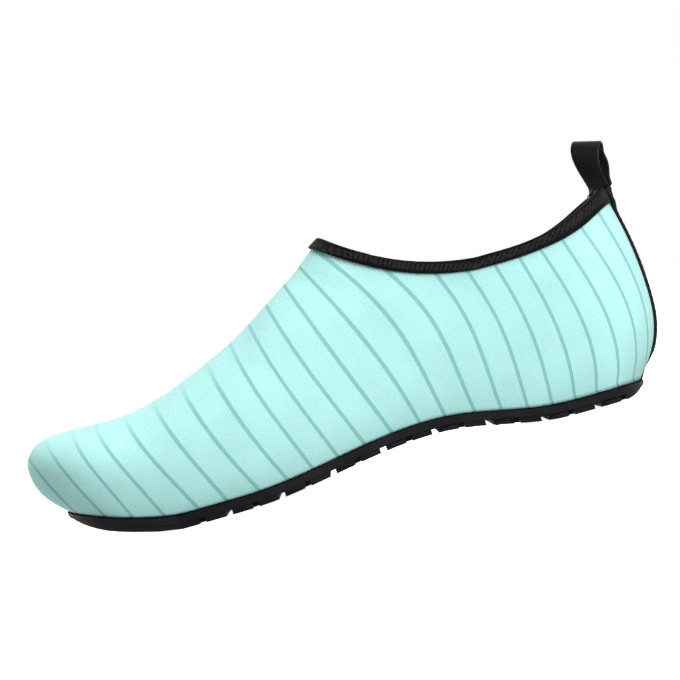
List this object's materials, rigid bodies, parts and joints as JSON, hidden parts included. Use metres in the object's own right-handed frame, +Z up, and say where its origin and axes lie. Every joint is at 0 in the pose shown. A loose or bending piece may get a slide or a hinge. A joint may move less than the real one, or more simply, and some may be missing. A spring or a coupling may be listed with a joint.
{
  "type": "water shoe",
  "caption": "Slip-on water shoe for the right foot: thin knitted upper, bound collar, heel pull loop and flexible grooved rubber sole.",
  "frame": {"origin": "centre of the shoe's bounding box, on the floor", "axes": "+X along the shoe towards the toe, +Y towards the inner (big toe) side, +Z up"},
  "size_m": [0.2592, 0.0932, 0.1046],
  "materials": {
    "knit_fabric": "matt stretch knit, mint with grey-green printed stripes",
    "sole_rubber": "satin black moulded rubber",
    "footbed_foam": "matt dark foam under a thin fabric",
    "elastic_tape": "black elastic tape, fine diagonal weave",
    "ribbon": "black woven ribbon, slight sheen"
  },
  "bodies": {
    "root": {"upper": "knit_fabric", "outsole": "sole_rubber", "insole": "footbed_foam", "collar_binding": "elastic_tape", "pull_loop": "ribbon"}
  },
  "joints": []
}
